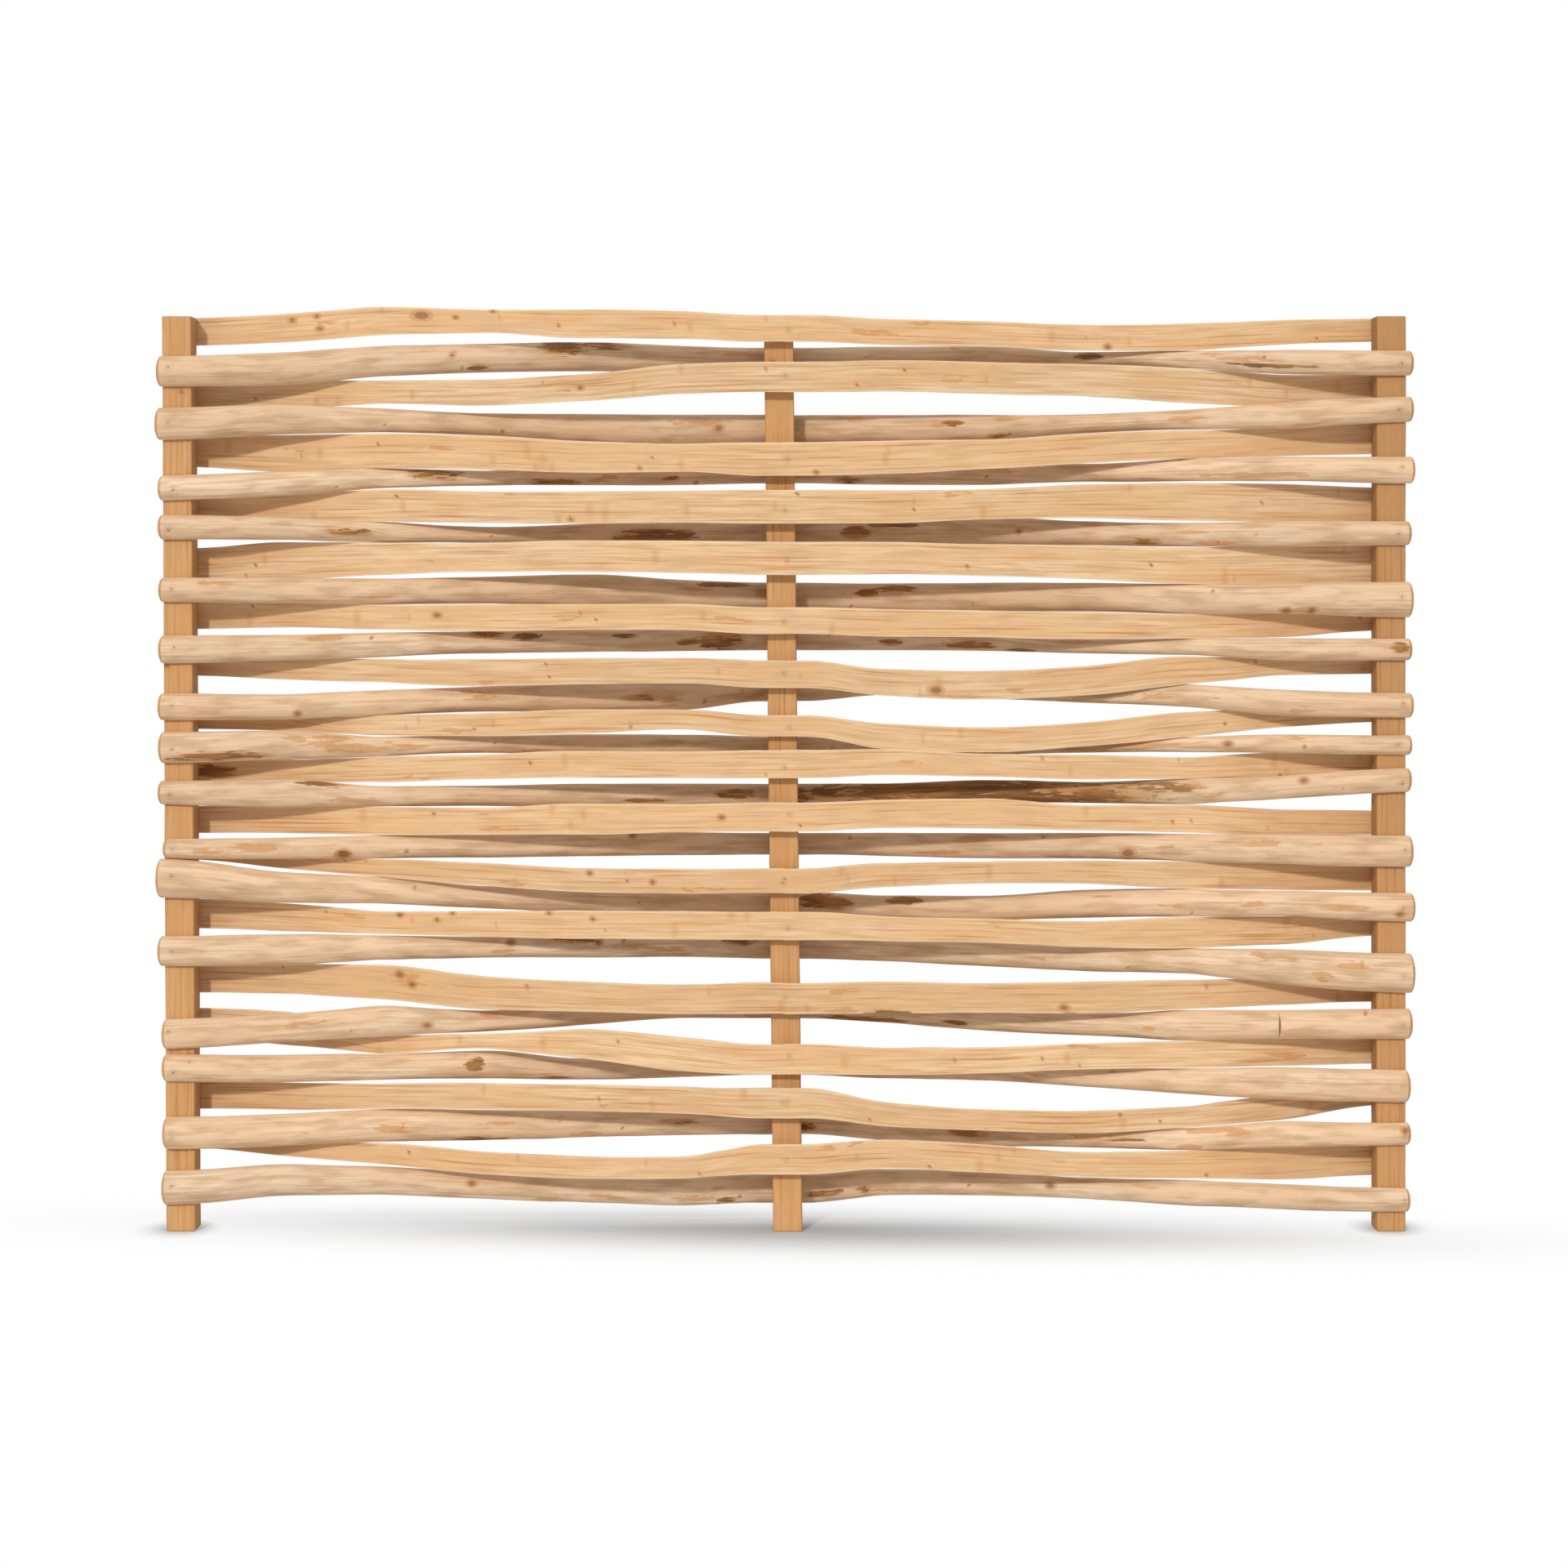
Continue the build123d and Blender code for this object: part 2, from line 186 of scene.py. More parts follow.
class Noise:
    """Smooth random relief over two coordinates, the same at each run."""

    CELLS = 512

    def __init__(self, seed: int) -> None:
        """Draws the lattice of random heights."""
        self.heights = np.random.default_rng(seed).uniform(-1, 1, (self.CELLS, self.CELLS))

    def at(self, first: Array, second: Array) -> Array:
        """The height at each pair of coordinates, one lattice cell to a unit.

        Args:
            first: First coordinate of each point.
            second: Second coordinate of each point.

        Returns:
            Heights from -1 to 1.
        """
        column, row = np.floor(first).astype(int), np.floor(second).astype(int)
        over, up = first - column, second - row
        over, up = over * over * (3 - 2 * over), up * up * (3 - 2 * up)
        column, row = column % (self.CELLS - 1), row % (self.CELLS - 1)
        h = self.heights
        low = h[column, row] * (1 - over) + h[column + 1, row] * over
        high = h[column, row + 1] * (1 - over) + h[column + 1, row + 1] * over
        return low * (1 - up) + high * up

    def layered(self, layers: tuple[Layer, ...], along: Array, across: Array) -> Array:
        """The sum of some layers: along in metres of the wood, across in the layers' own unit."""
        return sum(
            layer.share * self.at(along / layer.length, across * layer.cells + layer.row)
            for layer in layers
        )


def smooth_line(places: Array, values: Array, at: Array) -> Array:
    """A smooth curve through given values that never swings past them.

    Args:
        places: Where the values stand, in rising order.
        values: The values there.
        at: Where the curve is wanted.

    Returns:
        The curve's value at each place wanted.
    """
    step = np.diff(places)
    rise = np.diff(values) / step
    slope = np.zeros_like(values)
    same_way = rise[:-1] * rise[1:] > 0
    inner = np.where(same_way, 2 * rise[:-1] * rise[1:] / np.where(same_way, rise[:-1] + rise[1:], 1), 0)
    slope[1:-1] = inner
    cell = np.clip(np.searchsorted(places, at) - 1, 0, len(step) - 1)
    t = np.clip((at - places[cell]) / step[cell], 0, 1)
    start, end = values[cell], values[cell + 1]
    return (
        start * (1 + 2 * t) * (1 - t) ** 2
        + end * t * t * (3 - 2 * t)
        + step[cell] * (slope[cell] * t * (1 - t) ** 2 - slope[cell + 1] * t * t * (1 - t))
    )


def points_of(piece: Piece) -> Array:
    """The places of a piece's vertices, one row each."""
    places = np.empty(len(piece.data.vertices) * 3, np.float32)
    piece.data.vertices.foreach_get("co", places)
    return places.reshape(-1, 3).astype(float)


def move_points(piece: Piece, places: Array) -> None:
    """Puts a piece's vertices at new places, one row each."""
    piece.data.vertices.foreach_set("co", places.astype(np.float32).ravel())
    piece.data.update()


def store(piece: Piece, name: str, values: Array) -> None:
    """Keeps three numbers at each vertex of a piece, for its material to read."""
    attribute = piece.data.attributes.new(name, "FLOAT_VECTOR", "POINT")
    attribute.data.foreach_set("vector", values.astype(np.float32).ravel())


def choose(piece: Piece | None) -> None:
    """Selects one piece alone and makes it the active one, or deselects everything."""
    bpy.ops.object.select_all(action="DESELECT")
    bpy.context.view_layer.objects.active = piece
    if piece is not None:
        piece.select_set(True)


def select_edges(piece: Piece, wanted) -> None:
    """Selects the edges whose direction and middle pass a test."""
    bpy.ops.mesh.select_mode(type="EDGE")
    bpy.ops.mesh.select_all(action="DESELECT")
    mesh = bmesh.from_edit_mesh(piece.data)
    for edge in mesh.edges:
        start, end = edge.verts[0].co, edge.verts[1].co
        if wanted(end - start, (start + end) / 2):
            edge.select_set(True)
    bmesh.update_edit_mesh(piece.data)


def select_faces(piece: Piece, way: tuple[int, int, int]) -> None:
    """Selects the faces that look along a direction."""
    bpy.ops.mesh.select_mode(type="FACE")
    bpy.ops.mesh.select_all(action="DESELECT")
    mesh = bmesh.from_edit_mesh(piece.data)
    for face in mesh.faces:
        face.select_set(face.normal.dot(Vector(way)) > 0.9)
    bmesh.update_edit_mesh(piece.data)


def cut_edges(piece: Piece, wanted, cuts: int) -> None:
    """Subdivides the edges whose direction and middle pass a test."""
    select_edges(piece, wanted)
    bpy.ops.mesh.subdivide(number_cuts=cuts)


def smooth(piece: Piece, angle: float) -> None:
    """Shades a piece smoothly over edges less sharp than an angle in degrees."""
    choose(piece)
    bpy.ops.object.shade_smooth_by_angle(angle=math.radians(angle))


def place_on_frame(piece: Piece, slot: str, *nodes: str) -> None:
    """Ties a piece to the frame and hides the solids that it stands for; the slot is not used."""
    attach(piece, ROOT)
    if nodes:
        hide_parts(*nodes)


class Graph:
    """A node tree that is built a node at a time."""

    def __init__(self, tree: bpy.types.NodeTree) -> None:
        """Takes the tree to build in."""
        self.tree = tree

    def add(self, kind: str, inputs: dict | None = None, **settings) -> bpy.types.Node:
        """Adds one node.

        Args:
            kind: The node's type.
            inputs: A value or another node's output for each input, by name or number.
            settings: The node's own properties.

        Returns:
            The node.
        """
        node = self.tree.nodes.new(kind)
        for name, value in settings.items():
            setattr(node, name, value)
        for name, value in (inputs or {}).items():
            if isinstance(value, Socket):
                self.tree.links.new(value, node.inputs[name])
            else:
                node.inputs[name].default_value = value
        return node

    def math(self, operation: str, *values) -> Socket:
        """Works out one number from one to three others."""
        return self.add("ShaderNodeMath", dict(enumerate(values)), operation=operation).outputs[0]

    def plus(self, first, second) -> Socket:
        """The sum of two numbers."""
        return self.math("ADD", first, second)

    def minus(self, first, second) -> Socket:
        """What is left of the first number without the second."""
        return self.math("SUBTRACT", first, second)

    def times(self, first, second) -> Socket:
        """The product of two numbers."""
        return self.math("MULTIPLY", first, second)

    def mix(self, share, first, second, blend: str = "MIX") -> Socket:
        """Mixes two colours."""
        inputs = {0: share, 6: first, 7: second}
        node = self.add("ShaderNodeMix", inputs, data_type="RGBA", blend_type=blend, clamp_factor=True)
        return node.outputs[2]

    def lay(self, under, over, mask, share) -> Socket:
        """Lays one colour over another through a mask, no more strongly than a share."""
        return self.mix(self.times(mask, share), under, over)

    def step(self, value, low, high) -> Socket:
        """A smooth rise from 0 at low to 1 at high."""
        inputs = {"Value": value, "From Min": low, "From Max": high}
        node = self.add("ShaderNodeMapRange", inputs, interpolation_type="SMOOTHSTEP", clamp=True)
        return node.outputs["Result"]

    def noise(self, vector, along: float, across: float, detail: float = 2.0) -> Socket:
        """Noise round 0.5, drawn out along the grain: features to a metre along it and across it."""
        inputs = {0: vector, 1: (along, across, across)}
        scaled = self.add("ShaderNodeVectorMath", inputs, operation="MULTIPLY")
        inputs = {"Vector": scaled.outputs[0], "Scale": 1.0, "Detail": detail}
        return self.add("ShaderNodeTexNoise", inputs).outputs[0]

    def attribute(self, name: str) -> tuple:
        """The three numbers that store() kept, and the vector of them last."""
        vector = self.add("ShaderNodeAttribute", attribute_name=name).outputs["Vector"]
        parts = self.add("ShaderNodeSeparateXYZ", {0: vector}).outputs
        return parts[0], parts[1], parts[2], vector


def new_material(name: str) -> tuple[bpy.types.Material, Graph]:
    """Starts an empty material, with the graph to build it in."""
    material = bpy.data.materials.new(name)
    material.use_nodes = True
    material.node_tree.nodes.clear()
    return material, Graph(material.node_tree)


def make_group(name: str, inputs: dict[str, str], outputs: dict[str, str]) -> tuple:
    """Starts a group, and returns it with its graph and the nodes of its inputs and outputs."""
    group = bpy.data.node_groups.new(name, "ShaderNodeTree")
    for label, kind in inputs.items():
        group.interface.new_socket(label, in_out="INPUT", socket_type=kind)
    for label, kind in outputs.items():
        group.interface.new_socket(label, in_out="OUTPUT", socket_type=kind)
    graph = Graph(group)
    return group, graph, graph.add("NodeGroupInput"), graph.add("NodeGroupOutput")


def make_grain_group() -> bpy.types.NodeTree:
    """The grain that every piece of wood shows.

    Returns:
        A group that turns grain coordinates into streaks, thin lines, fibres, growth rings, broad
        tones and blotches.
    """
    outputs = ("Streaks", "Lines", "Fibres", "Rings", "Tones", "Blotches")
    group, g, given, made = make_group(
        "wood_grain",
        {"Grain": "NodeSocketVector", "Ring Width": "NodeSocketFloat"},
        dict.fromkeys(outputs, "NodeSocketFloat"),
    )
    grain = given.outputs["Grain"]
    parts = g.add("ShaderNodeSeparateXYZ", {0: grain}).outputs
    reach = g.math("SQRT", g.plus(g.times(parts[1], parts[1]), g.times(parts[2], parts[2])))
    wander = g.times(g.minus(g.noise(grain, 4, 60, 2), 0.5), 0.010)
    turns = g.math("DIVIDE", g.plus(reach, wander), given.outputs["Ring Width"])
    ring = g.math("FRACT", turns)
    results = {
        "Streaks": g.step(g.noise(grain, 9, 240, 3), 0.40, 0.66),
        "Lines": g.step(g.noise(grain, 5, 330, 2), 0.56, 0.70),
        "Fibres": g.noise(grain, 50, 1500, 2),
        "Rings": g.math("POWER", ring, 3.0),
        "Tones": g.step(g.noise(grain, 3.5, 30, 1), 0.36, 0.66),
        "Blotches": g.step(g.noise(grain, 16, 75, 3), 0.42, 0.68),
    }
    for label, value in results.items():
        g.tree.links.new(value, made.inputs[label])
    return group


def make_patch_group() -> bpy.types.NodeTree:
    """The ragged edge of a patch of bark, a scar or a stain.

    Returns:
        A group that turns a soft patch, 0 outside and 1 in its middle, into a ragged mask.
    """
    group, g, given, made = make_group(
        "ragged_patch",
        {"Patch": "NodeSocketFloat", "Grain": "NodeSocketVector", "Ragged": "NodeSocketFloat"},
        {"Mask": "NodeSocketFloat"},
    )
    grain = given.outputs["Grain"]
    rough = g.plus(g.noise(grain, 40, 220, 4), g.times(g.noise(grain, 14, 60, 1), 0.6))
    swing = g.times(g.minus(rough, 0.8), given.outputs["Ragged"])
    patch = given.outputs["Patch"]
    ragged = g.step(g.plus(patch, swing), 0.30, 0.42)
    mask = g.times(ragged, g.step(patch, 0.02, 0.12))
    g.tree.links.new(mask, made.inputs["Mask"])
    return group


@dataclass(frozen=True)
class WoodFinish:
    """How one face of the wood looks.

    light and dark are the wood between the growth rings and in them, warm its redder broad
    patches, dull its greyer blotches, and edge the sapwood along a cleft face's edges. The other
    colours are those of the marks, save the crack colour, which is painted shade inside a split,
    and the shares say how strongly each part of the grain shows.
    """

    name: str
    light: tuple
    dark: tuple
    warm: tuple
    edge: tuple
    dull: tuple = srgb(190, 152, 112)
    bark: tuple = srgb(108, 70, 40)
    golden: tuple = srgb(186, 128, 62)
    fleck: tuple = srgb(204, 140, 78)
    knot: tuple = srgb(132, 86, 48)
    # painted shade inside a split
    crack_shade: tuple = srgb(84, 54, 34)
    bark_grain: tuple = srgb(58, 38, 26)
    nail_stain: tuple = srgb(110, 84, 62)
    ragged: float = 3.0
    ring_width: float = 2.6 * MM
    streak_share: float = 0.45
    line_share: float = 0.4
    blotch_share: float = 0.25
    ring_share: float = 0.25
    edge_share: float = 0.8
    relief: float = 0.35
    roughness: float = 0.7

    def material(self, grain_group, patch_group) -> bpy.types.Material:
        """Builds the material from the shared grain and the shared ragged patch."""
        material, g = new_material(self.name)
        grain = g.attribute("grain")[3]
        across, tone, stain, _ = g.attribute("figure")
        redness, trace, split, _ = g.attribute("tint")
        inputs = {"Grain": grain, "Ring Width": self.ring_width}
        wood = g.add("ShaderNodeGroup", inputs, node_tree=grain_group).outputs
        fine = g.step(wood["Fibres"], 0.35, 0.62)
        colour = self.bare_wood(g, wood, fine, across, redness)
        colour = g.lay(colour, self.fleck, g.step(trace, 0.0, 0.8), 0.4)
        colour, bark = self.marked(g, patch_group, grain, wood, fine, colour)
        colour = g.lay(colour, self.nail_stain, stain, 0.35)
        # painted shade: the inside of a split is coloured dark
        colour = g.lay(colour, self.crack_shade, g.step(split, 0.6, 0.8), 0.8)
        # tone holds each piece's own tone, less the painted shade behind the posts and on a post's two
        # sides
        inputs = {"Color": colour, "Value": g.plus(1.0, tone)}
        shade = g.add("ShaderNodeHueSaturation", inputs).outputs[0]

        height = g.times(wood["Fibres"], 0.5)
        height = g.plus(height, g.times(wood["Streaks"], -0.5))
        height = g.plus(height, g.times(bark, g.plus(0.4, g.noise(grain, 60, 320, 3))))
        bump = g.add("ShaderNodeBump", {"Height": height, "Strength": self.relief, "Distance": 0.6 * MM})
        rough = g.plus(self.roughness, g.times(fine, 0.12))
        inputs = {"Base Color": shade, "Roughness": rough, "Normal": bump.outputs[0]}
        shader = g.add("ShaderNodeBsdfPrincipled", inputs)
        shader.inputs["Specular IOR Level"].default_value = 0.3
        g.add("ShaderNodeOutputMaterial", {"Surface": shader.outputs[0]})
        return material

    def bare_wood(self, g: Graph, wood, fine, across, redness) -> Socket:
        """The wood's own colour, without marks.

        Args:
            g: The material's graph.
            wood: The outputs of the shared grain.
            fine: The finest fibres, 0 to 1.
            across: Place across the face, -1 to 1.
            redness: How red the whole piece is, 0 to 1.

        Returns:
            The colour.
        """
        colour = g.lay(self.light, self.dark, wood["Streaks"], self.streak_share)
        colour = g.lay(colour, self.dark, wood["Rings"], self.ring_share)
        colour = g.lay(colour, self.warm, wood["Tones"], 0.7)
        colour = g.mix(redness, colour, self.warm)
        colour = g.lay(colour, self.dull, wood["Blotches"], self.blotch_share)
        edge = g.step(g.math("ABSOLUTE", across), self.edge_share, 1.0)
        colour = g.lay(colour, self.edge, edge, 0.7)
        colour = g.mix(g.times(wood["Lines"], self.line_share), colour, self.dark, "MULTIPLY")
        return g.lay(colour, self.dark, fine, 0.16)

    def marked(self, g: Graph, patch_group, grain, wood, fine, colour) -> tuple:
        """Lays flecks, bark and knots over the wood.

        Args:
            g: The material's graph.
            patch_group: The shared ragged patch.
            grain: The grain coordinates.
            wood: The outputs of the shared grain.
            fine: The finest fibres, 0 to 1.
            colour: The wood's colour.

        Returns:
            The colour with the marks, and the mask of the bark.
        """
        bark_patch, fleck_patch, knot_patch, _ = g.attribute("marks")
        inputs = {"Grain": grain, "Ragged": self.ragged}
        fleck, bark = (
            g.add("ShaderNodeGroup", inputs | {"Patch": patch}, node_tree=patch_group).outputs[0]
            for patch in (fleck_patch, bark_patch)
        )
        colour = g.lay(colour, self.fleck, fleck, 0.6)
        colour = g.lay(colour, self.golden, g.step(bark_patch, 0.02, 0.45), 0.7)
        gilt = g.math("MAXIMUM", wood["Blotches"], g.times(wood["Streaks"], 0.85))
        bark_colour = g.lay(g.mix(gilt, self.bark, self.golden), self.bark_grain, fine, 0.35)
        colour = g.lay(colour, bark_colour, bark, 0.8)
        eye = g.step(knot_patch, 0.45, 0.75)
        rim = g.times(g.step(knot_patch, 0.12, 0.32), g.minus(1.0, eye))
        colour = g.lay(colour, self.fleck, rim, 0.55)
        return g.lay(colour, self.knot, eye, 0.75), bark


@dataclass(frozen=True)
class NailFinish:
    """Dull, lightly rusted wire nails."""

    steel: tuple = srgb(104, 92, 80)
    rust: tuple = srgb(112, 80, 54)

    def material(self) -> bpy.types.Material:
        """Builds the material."""
        material, g = new_material("nail_steel")
        place = g.add("ShaderNodeTexCoord").outputs["Object"]
        spots = g.step(g.noise(place, 900, 900, 3), 0.42, 0.6)
        colour = g.mix(spots, self.steel, self.rust)
        rough = g.plus(0.45, g.times(spots, 0.35))
        metal = g.minus(0.9, g.times(spots, 0.7))
        inputs = {"Base Color": colour, "Roughness": rough, "Metallic": metal}
        shader = g.add("ShaderNodeBsdfPrincipled", inputs)
        g.add("ShaderNodeOutputMaterial", {"Surface": shader.outputs[0]})
        return material


class Finishes:
    """Every material of the screen."""

    def __init__(self) -> None:
        """Builds the shared groups, then each material."""
        grain, patch = make_grain_group(), make_patch_group()
        self.cleft = WoodFinish(
            "cleft_face",
            light=srgb(243, 212, 170), dark=srgb(206, 154, 98),
            warm=srgb(230, 182, 130), edge=srgb(244, 218, 182),
            streak_share=0.65, line_share=0.6,
        ).material(grain, patch)
        self.back = WoodFinish(
            "peeled_back",
            light=srgb(242, 216, 184), dark=srgb(210, 170, 128),
            warm=srgb(234, 196, 156), edge=srgb(234, 204, 166),
            ring_share=0.1, streak_share=0.65, blotch_share=0.6,
        ).material(grain, patch)
        self.end = WoodFinish(
            "sawn_end",
            light=srgb(222, 180, 130), dark=srgb(178, 124, 74),
            warm=srgb(206, 152, 98), edge=srgb(222, 184, 138),
            ring_share=0.7, ring_width=2.2 * MM,
        ).material(grain, patch)
        self.post = WoodFinish(
            "sawn_post",
            light=srgb(222, 172, 116), dark=srgb(190, 134, 78),
            warm=srgb(212, 156, 98), edge=srgb(222, 172, 116),
            ring_share=0.35, ring_width=4.0 * MM, relief=0.5,
        ).material(grain, patch)
        self.nail = NailFinish().material()


@dataclass
class RailBlank:
    """A straight half-round of unit size, 0 to 1 along X, from which every rail is shaped.

    Its flat face lies on Y = 0 and its back bulges to Y = 1, between -1 and 1 along Z. A dome on
    each end rises to 1 beyond it.
    """

    back_steps: int = 16
    cleft_steps: int = 10
    cuts: tuple[int, int] = (17, 21)
    dome_steps: tuple[tuple[float, float], ...] = ((0.36, 0.93), (0.3, 0.86), (0.22, 0.75), (0.12, 0.5))
    dome_middle: float = 0.42
    round_over: float = 0.045

    def build(self, finishes: Finishes) -> Piece:
        """Models the blank: half a cylinder, cut along its length and across its flat face.

        Args:
            finishes: The materials of its cleft face, back and ends.

        Returns:
            The blank.
        """
        choose(None)
        bpy.ops.mesh.primitive_cylinder_add(
            vertices=2 * self.back_steps, radius=1, depth=1, end_fill_type="NGON",
            location=(0.5, 0, 0), rotation=(0, math.pi / 2, 0),
        )
        blank = bpy.context.object
        blank.name = "rail_blank"
        bpy.ops.object.transform_apply()
        bpy.ops.object.mode_set(mode="EDIT")
        bpy.ops.mesh.select_all(action="SELECT")
        bpy.ops.mesh.bisect(plane_co=(0, 0, 0), plane_no=(0, -1, 0), clear_outer=True, use_fill=True)
        select_edges(blank, lambda way, middle: abs(way.x) > 0.9 and abs(middle.z) > 0.999)
        bpy.ops.mesh.bevel(offset=self.round_over, segments=2)
        cut_edges(blank, lambda way, middle: abs(way.z) > 1.5, self.cleft_steps - 1)
        for cuts in self.cuts:
            cut_edges(blank, lambda way, middle: abs(way.y) + abs(way.z) < 1e-4, cuts)
        for way in (1, -1):
            self.dome_end(blank, way)
        bpy.ops.mesh.select_all(action="SELECT")
        bpy.ops.mesh.normals_make_consistent(inside=False)
        bpy.ops.object.mode_set(mode="OBJECT")
        for material in (finishes.cleft, finishes.back, finishes.end):
            blank.data.materials.append(material)
        for face in blank.data.polygons:
            on_end = not 0 < face.center.x < 1
            face.material_index = 2 if on_end else (0 if face.normal.y < -0.9 else 1)
        return blank

    def dome_end(self, blank: Piece, way: int) -> None:
        """Raises a dome on the end that faces one way along X, up to 1 beyond it."""
        select_faces(blank, (way, 0, 0))
        for rise, shrink in self.dome_steps:
            bpy.ops.mesh.extrude_region_move(TRANSFORM_OT_translate={"value": (way * rise, 0, 0)})
            bpy.ops.transform.resize(value=(1, shrink, shrink), center_override=(0, self.dome_middle, 0))


@dataclass
class RailLine:
    """A rail's course as the solid has it: its flat, its back and its two edges along X."""

    x: Array
    flat: Array
    back: Array
    low: Array
    high: Array

    SECTION_POINTS = 9

    @classmethod
    def read(cls, node: str, faces_front: bool) -> "RailLine":
        """Reads the course off the solid's own sections.

        Args:
            node: The solid's name.
            faces_front: Whether its round back faces the front.

        Returns:
            The course.
        """
        places = points_of(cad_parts[node])
        key = np.round(places[:, 0] / (0.05 * MM)).astype(int)
        rows = []
        for value in np.unique(key):
            ring = np.unique(np.round(places[key == value], 6), axis=0)
            if len(ring) < cls.SECTION_POINTS:
                continue
            low, high = ring.min(0), ring.max(0)
            flat, back = (high[1], low[1]) if faces_front else (low[1], high[1])
            rows.append((ring[0, 0], flat, back, low[2], high[2]))
        return cls(*np.array(rows).T)

    def at(self, x: Array) -> tuple:
        """The flat, the back and the two edges at each x."""
        return tuple(smooth_line(self.x, v, x) for v in (self.flat, self.back, self.low, self.high))


@dataclass
class Skin:
    """Where each vertex of a rail lies, in the rail's own terms.

    x is its place along the screen, beyond how far out on a domed end it is, up its place across
    the rail from -1 to 1, and out its place from the cleft face at 0 to the back at 1. flat and
    back are where those two faces lie, middle is the height of the rail's centre line and half is
    half its width.
    """

    x: Array
    beyond: Array
    up: Array
    out: Array
    flat: Array
    back: Array
    middle: Array
    half: Array

    EDGE = 0.12  # share of the depth over which the cleft face passes into the back

    @property
    def height(self) -> Array:
        """Height over the centre line, in metres."""
        return self.up * self.half

    @property
    def depth(self) -> Array:
        """How far behind the cleft face it lies, in metres."""
        return self.out * np.abs(self.back - self.flat)

    def on(self, side: Side) -> Array:
        """1 on one of the two faces and 0 on the other."""
        is_back = np.clip(self.out / self.EDGE, 0, 1)
        return is_back if side is Side.BACK else 1 - is_back


@dataclass
class Rail:
    """One cleft chestnut rail."""

    number: int
    faces_front: bool
    marks: tuple[Mark, ...]
    nails: list = field(default_factory=list)
    piece: Piece | None = None
    dome: float = 5.0 * MM
    wander: float = 0.6 * MM
    swell: float = 0.45 * MM
    wander_layer: Layer = Layer(0.085, 0.0, 3.5)
    swell_layer: Layer = Layer(0.05, 0.0, 9.5)
    knife_relief: float = 0.7 * MM
    knife_floor: float = 0.3
    knife_layers: tuple[Layer, ...] = (Layer(0.11, 1.9, 20), Layer(0.035, 4.5, 40, 0.5))
    fibre_relief: float = 0.4 * MM
    fibre_floor: float = 1.0
    fibre_layers: tuple[Layer, ...] = (Layer(0.16, 2.2, 60), Layer(0.05, 7, 80, 0.7))
    back_boss: float = 1.3 * MM  # how far a knot stands out of the back
    cleft_boss: float = 0.3 * MM
    bark_height: float = 0.5 * MM
    scar_depth: float = 0.9 * MM
    stain_radius: float = 4 * MM  # of the stain round a nail
    post_shade: float = 0.14  # painted shade: how much darker a rail's shown face is where it passes behind a post
    post_shade_reach: float = 60 * MM

    # How many marks of each kind chance adds to each face, and their usual sizes in millimetres
    CHANCE_MARKS = (
        (KNOT, Side.CLEFT, 4),
        (TRACE, Side.CLEFT, 6),
        (FLECK, Side.CLEFT, 2),
        (KNOT, Side.BACK, 3),
        (FLECK, Side.BACK, 4),
    )
    HIDDEN_BARK = (BARK, Side.BACK, 2)  # on backs that face away from the front view
    CHANCE_SIZES = {KNOT: (5, 4), TRACE: (9, 18), FLECK: (44, 5), BARK: (60, 9)}

    @property
    def node(self) -> str:
        """The name of the rail's solid."""
        return f"{'front' if self.faces_front else 'rear'}_rail_{self.number:02d}"

    @property
    def seed(self) -> int:
        """A number that no other rail has."""
        return self.number + (100 if self.faces_front else 0)

    @property
    def shown(self) -> Side:
        """The face that the front view shows."""
        return Side.BACK if self.faces_front else Side.CLEFT

    def random_marks(self, rng: np.random.Generator) -> list:
        """Small knots, branch traces, flecks and bark, on both faces.

        Args:
            rng: The rail's own source of chance.

        Returns:
            Pairs of mark and face.
        """
        made = []
        amounts = self.CHANCE_MARKS + (() if self.faces_front else (self.HIDDEN_BARK,))
        for kind, side, amount in amounts:
            for _ in range(amount):
                scale = rng.uniform(0.6, 1.35)
                length, width = (scale * size for size in self.CHANCE_SIZES[kind])
                mark = Mark(kind, rng.uniform(-860, 860), rng.uniform(-0.8, 0.8), length, width)
                made.append((mark, side))
        return made

    def lay_out(self, unit: Array, noise: Noise) -> Skin:
        """Lays the blank's vertices along the rail's course, a little off its true line.

        Args:
            unit: The blank's vertices.
            noise: The rail's own relief.

        Returns:
            Where each vertex lies.
        """
        line = RailLine.read(self.node, self.faces_front)
        along, out = unit[:, 0], unit[:, 1]
        up = unit[:, 2] * (-1 if self.faces_front else 1)
        body = np.clip(along, 0, 1)
        beyond = along - body
        x = line.x[0] + self.dome + body * (line.x[-1] - line.x[0] - 2 * self.dome)
        flat, back, low, high = line.at(x)
        middle, half = (low + high) / 2, (high - low) / 2
        middle = middle + self.wander * noise.layered((self.wander_layer,), x, up)
        half = half + self.swell + 0.5 * self.wander * noise.layered((self.swell_layer,), x, up)
        return Skin(x + beyond * self.dome, beyond, up, out, flat, back, middle, half)

    def relief(self, skin: Skin, noise: Noise) -> Array:
        """How far the knife's marks and the fibres raise each vertex off the true half-round."""
        around = np.arctan2(skin.out, -skin.up)
        knife = noise.layered(self.knife_layers, skin.x, around) - self.knife_floor
        fibre = noise.layered(self.fibre_layers, skin.x, skin.up) - self.fibre_floor
        raised = skin.on(Side.BACK) * self.knife_relief * knife
        raised = raised + skin.on(Side.CLEFT) * self.fibre_relief * fibre
        return np.where(skin.beyond == 0, raised, 0)

